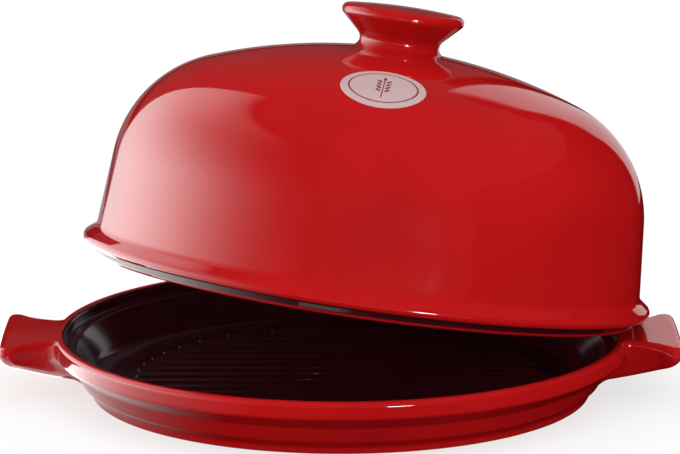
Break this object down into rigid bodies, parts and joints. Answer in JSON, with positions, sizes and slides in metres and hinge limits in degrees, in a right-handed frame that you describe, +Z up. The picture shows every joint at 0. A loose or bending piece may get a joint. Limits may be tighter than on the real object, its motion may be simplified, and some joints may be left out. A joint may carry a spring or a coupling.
{
  "type": "bread cloche",
  "caption": "Round stepped baking dish with two flared handles under a high domed lid with a mushroom knob and a plain medallion; the lid rests tilted open on one handle.",
  "frame": {"origin": "centre of the dish's flat underside, on the surface it stands on", "axes": "+Z up; the two handles lie along X; the lid leans down towards +X and a little towards +Y; its medallion faces -Y, the front"},
  "size_m": [0.338, 0.2946, 0.1924],
  "materials": {
    "dish_glaze": "glossy red glaze outside, near-black aubergine glaze inside the rim",
    "lid_glaze": "glossy red glaze",
    "knob_glaze": "glossy red glaze",
    "medallion_transfer": "satin grey-pink, fired on"
  },
  "bodies": {
    "dish": {"dish": "dish_glaze"},
    "lid": {"dome": "lid_glaze", "knob": "knob_glaze", "medallion": "medallion_transfer"}
  },
  "joints": [
    {"name": "lid_lift", "type": "slide", "parent": "dish", "child": "lid", "axis": [0, 0, 1], "range_m": [0, 0.15]}
  ]
}
